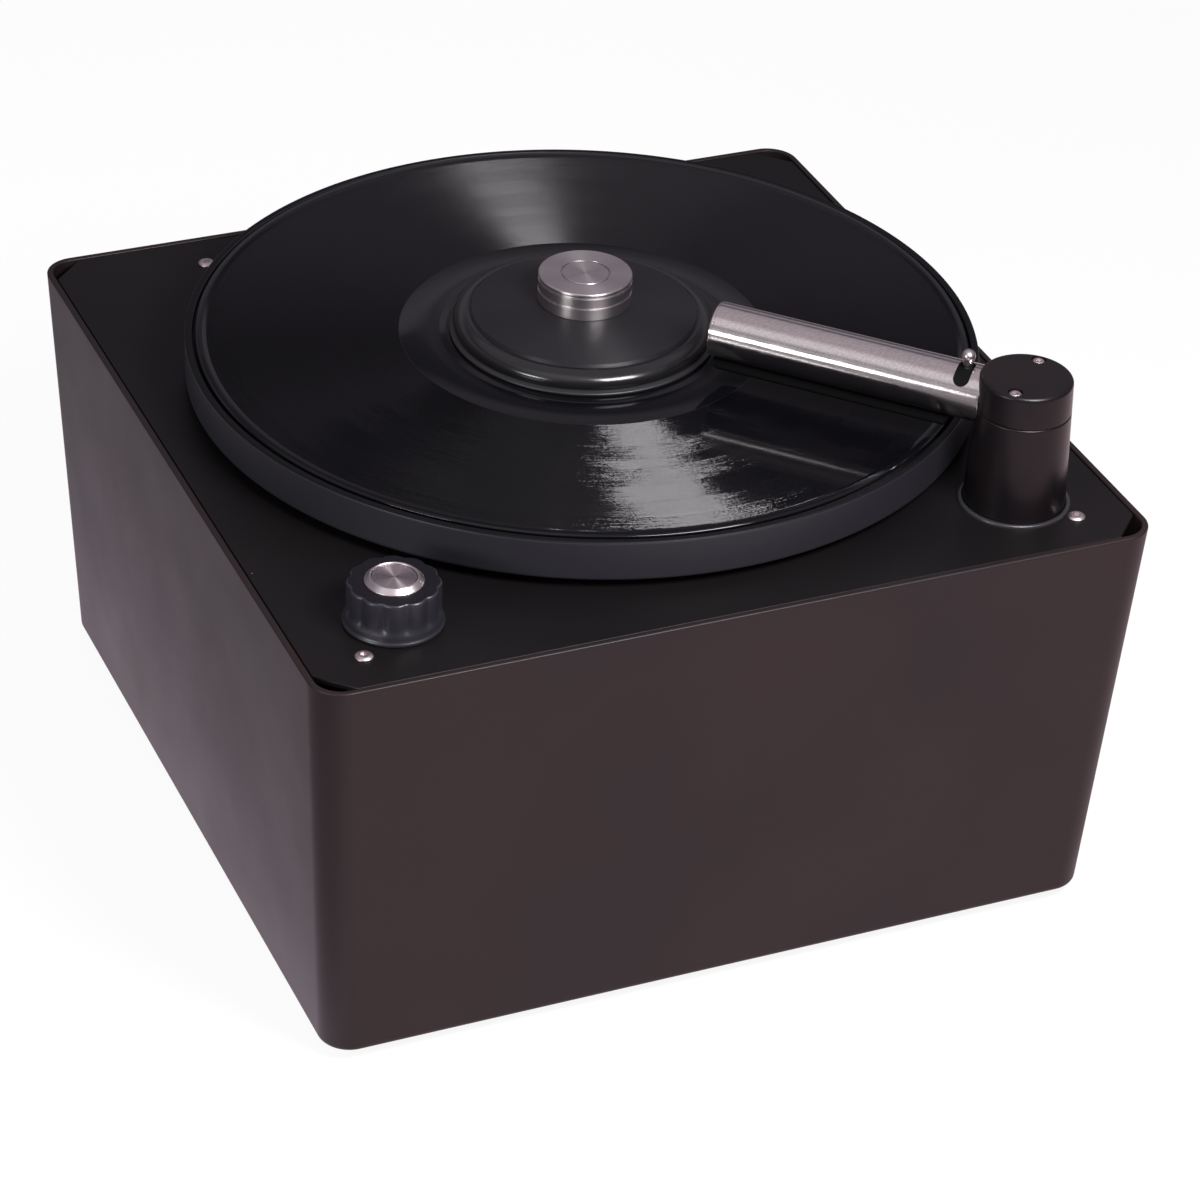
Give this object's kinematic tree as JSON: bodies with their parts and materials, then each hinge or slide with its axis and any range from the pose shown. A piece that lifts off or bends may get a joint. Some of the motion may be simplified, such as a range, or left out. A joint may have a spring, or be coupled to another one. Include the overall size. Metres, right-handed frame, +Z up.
{
  "type": "record cleaning machine",
  "caption": "Boxy cleaning machine for discs: let-in top plate, driven platter with a clamped disc, and a suction arm that swings, presses down and twists.",
  "frame": {"origin": "middle of the casing in plan, on the surface that the feet stand on", "axes": "+X to the side with the suction arm, -Y to the front with the control knob and arm, +Z up"},
  "size_m": [0.334, 0.334, 0.2315],
  "materials": {
    "casing_paint": "satin black paint on bent sheet",
    "plate_paint": "smooth satin black paint",
    "zinc_steel": "zinc plated sheet and screws",
    "bright_steel": "polished stainless steel, turned or drawn",
    "platter_black": "satin black turned platter",
    "mat_rubber": "ribbed soft mat",
    "vinyl": "glossy pressed vinyl with fine grooves",
    "black_plastic": "turned black plastic, satin",
    "turret_black": "satin black turned metal",
    "black_rubber": "black rubber",
    "felt": "short pile cleaning pad",
    "bronze": "sintered bronze",
    "nylon": "natural nylon",
    "alloy": "turned aluminium",
    "motor_metal": "grey painted motor shells",
    "circuit_board": "green circuit board with parts",
    "hose_rubber": "dark flexible hose",
    "tank_plastic": "translucent white moulded tank"
  },
  "bodies": {
    "root": {"housing": "casing_paint", "base_plate": "zinc_steel", "base_screws": "zinc_steel", "rubber_feet": "black_rubber", "foot_screws": "zinc_steel", "corner_brackets": "zinc_steel", "top_plate": "plate_paint", "top_plate_screws": "bright_steel", "bearing_housing": "alloy", "bearing_screws": "zinc_steel", "bearing_bushes": "bronze", "thrust_washer": "nylon", "gearbox_case": "motor_metal", "motor_can": "motor_metal", "motor_pillars": "zinc_steel", "turret_sleeve": "alloy", "sleeve_nuts": "zinc_steel", "trim_ring": "bright_steel", "switch_body": "black_plastic", "switch_nut": "zinc_steel", "control_board": "circuit_board", "board_standoffs": "nylon", "suction_hose": "hose_rubber", "waste_tank": "tank_plastic", "tank_lid": "tank_plastic", "vacuum_hose": "hose_rubber", "blower_case": "alloy", "blower_motor": "motor_metal", "blower_cradle": "black_rubber", "mains_inlet": "black_plastic", "rocker_frame": "black_plastic"},
    "platter": {"spindle": "bright_steel", "platter": "platter_black", "platter_screws": "zinc_steel", "platter_mat": "mat_rubber", "record": "vinyl", "drive_coupling": "alloy", "gearbox_shaft": "bright_steel"},
    "clamp": {"clamp_pad": "black_rubber", "clamp_disc": "black_plastic", "clamp_knob": "bright_steel"},
    "arm_swivel": {"spring_cup": "nylon", "lift_spring": "bright_steel"},
    "arm": {"turret_post": "turret_black", "turret_cap": "turret_black", "cap_screws": "bright_steel", "tube_stub": "bright_steel", "arm_pin": "bright_steel", "tail_seals": "black_rubber"},
    "arm_tube": {"suction_tube": "bright_steel", "tube_end_cap": "bright_steel", "pad_strips": "felt"},
    "knob": {"control_knob": "black_plastic", "button_bezel": "bright_steel", "switch_shaft": "bright_steel"},
    "button": {"power_button": "bright_steel"},
    "impeller": {"impeller": "alloy"},
    "rocker": {"power_rocker": "black_plastic"},
    "drain_plug": {"drain_plug": "black_rubber"}
  },
  "joints": [
    {"name": "platter_spin", "type": "hinge", "parent": "root", "child": "platter", "pos_m": [0.0065, 0.0116, 0.1726], "axis": [0, 0, 1], "continuous": true},
    {"name": "clamp_lift", "type": "slide", "parent": "platter", "child": "clamp", "axis": [0, 0, 1], "range_m": [0, 0.06]},
    {"name": "arm_swing", "type": "hinge", "parent": "root", "child": "arm_swivel", "pos_m": [0.1258, -0.127, 0.1726], "axis": [0, 0, 1], "range_deg": [-85, 8]},
    {"name": "arm_press", "type": "slide", "parent": "arm_swivel", "child": "arm", "axis": [0, 0, 1], "range_m": [-0.0054, 0], "stiffness_N_per_m": 500, "springref_m": 0.02, "deforming": ["lift_spring"]},
    {"name": "tube_twist", "type": "hinge", "parent": "arm", "child": "arm_tube", "pos_m": [0.1258, -0.127, 0.2144], "axis": [-0.6921, 0.7218, 0], "range_deg": [0, 40]},
    {"name": "knob_turn", "type": "hinge", "parent": "root", "child": "knob", "pos_m": [-0.1245, -0.1275, 0.1726], "axis": [0, 0, 1], "range_deg": [-45, 45]},
    {"name": "button_push", "type": "slide", "parent": "knob", "child": "button", "axis": [0, 0, 1], "range_m": [-0.0015, 0], "stiffness_N_per_m": 400, "springref_m": 0.0015},
    {"name": "impeller_spin", "type": "hinge", "parent": "root", "child": "impeller", "pos_m": [-0.09497, 0.06, 0.072], "axis": [0, 1, 0], "continuous": true},
    {"name": "rocker_tilt", "type": "hinge", "parent": "root", "child": "rocker", "pos_m": [0.042, 0.1608, 0.046], "axis": [1, 0, 0], "range_deg": [0, 16]},
    {"name": "drain_pull", "type": "slide", "parent": "root", "child": "drain_plug", "axis": [0, 1, 0], "range_m": [0, 0.014]}
  ]
}
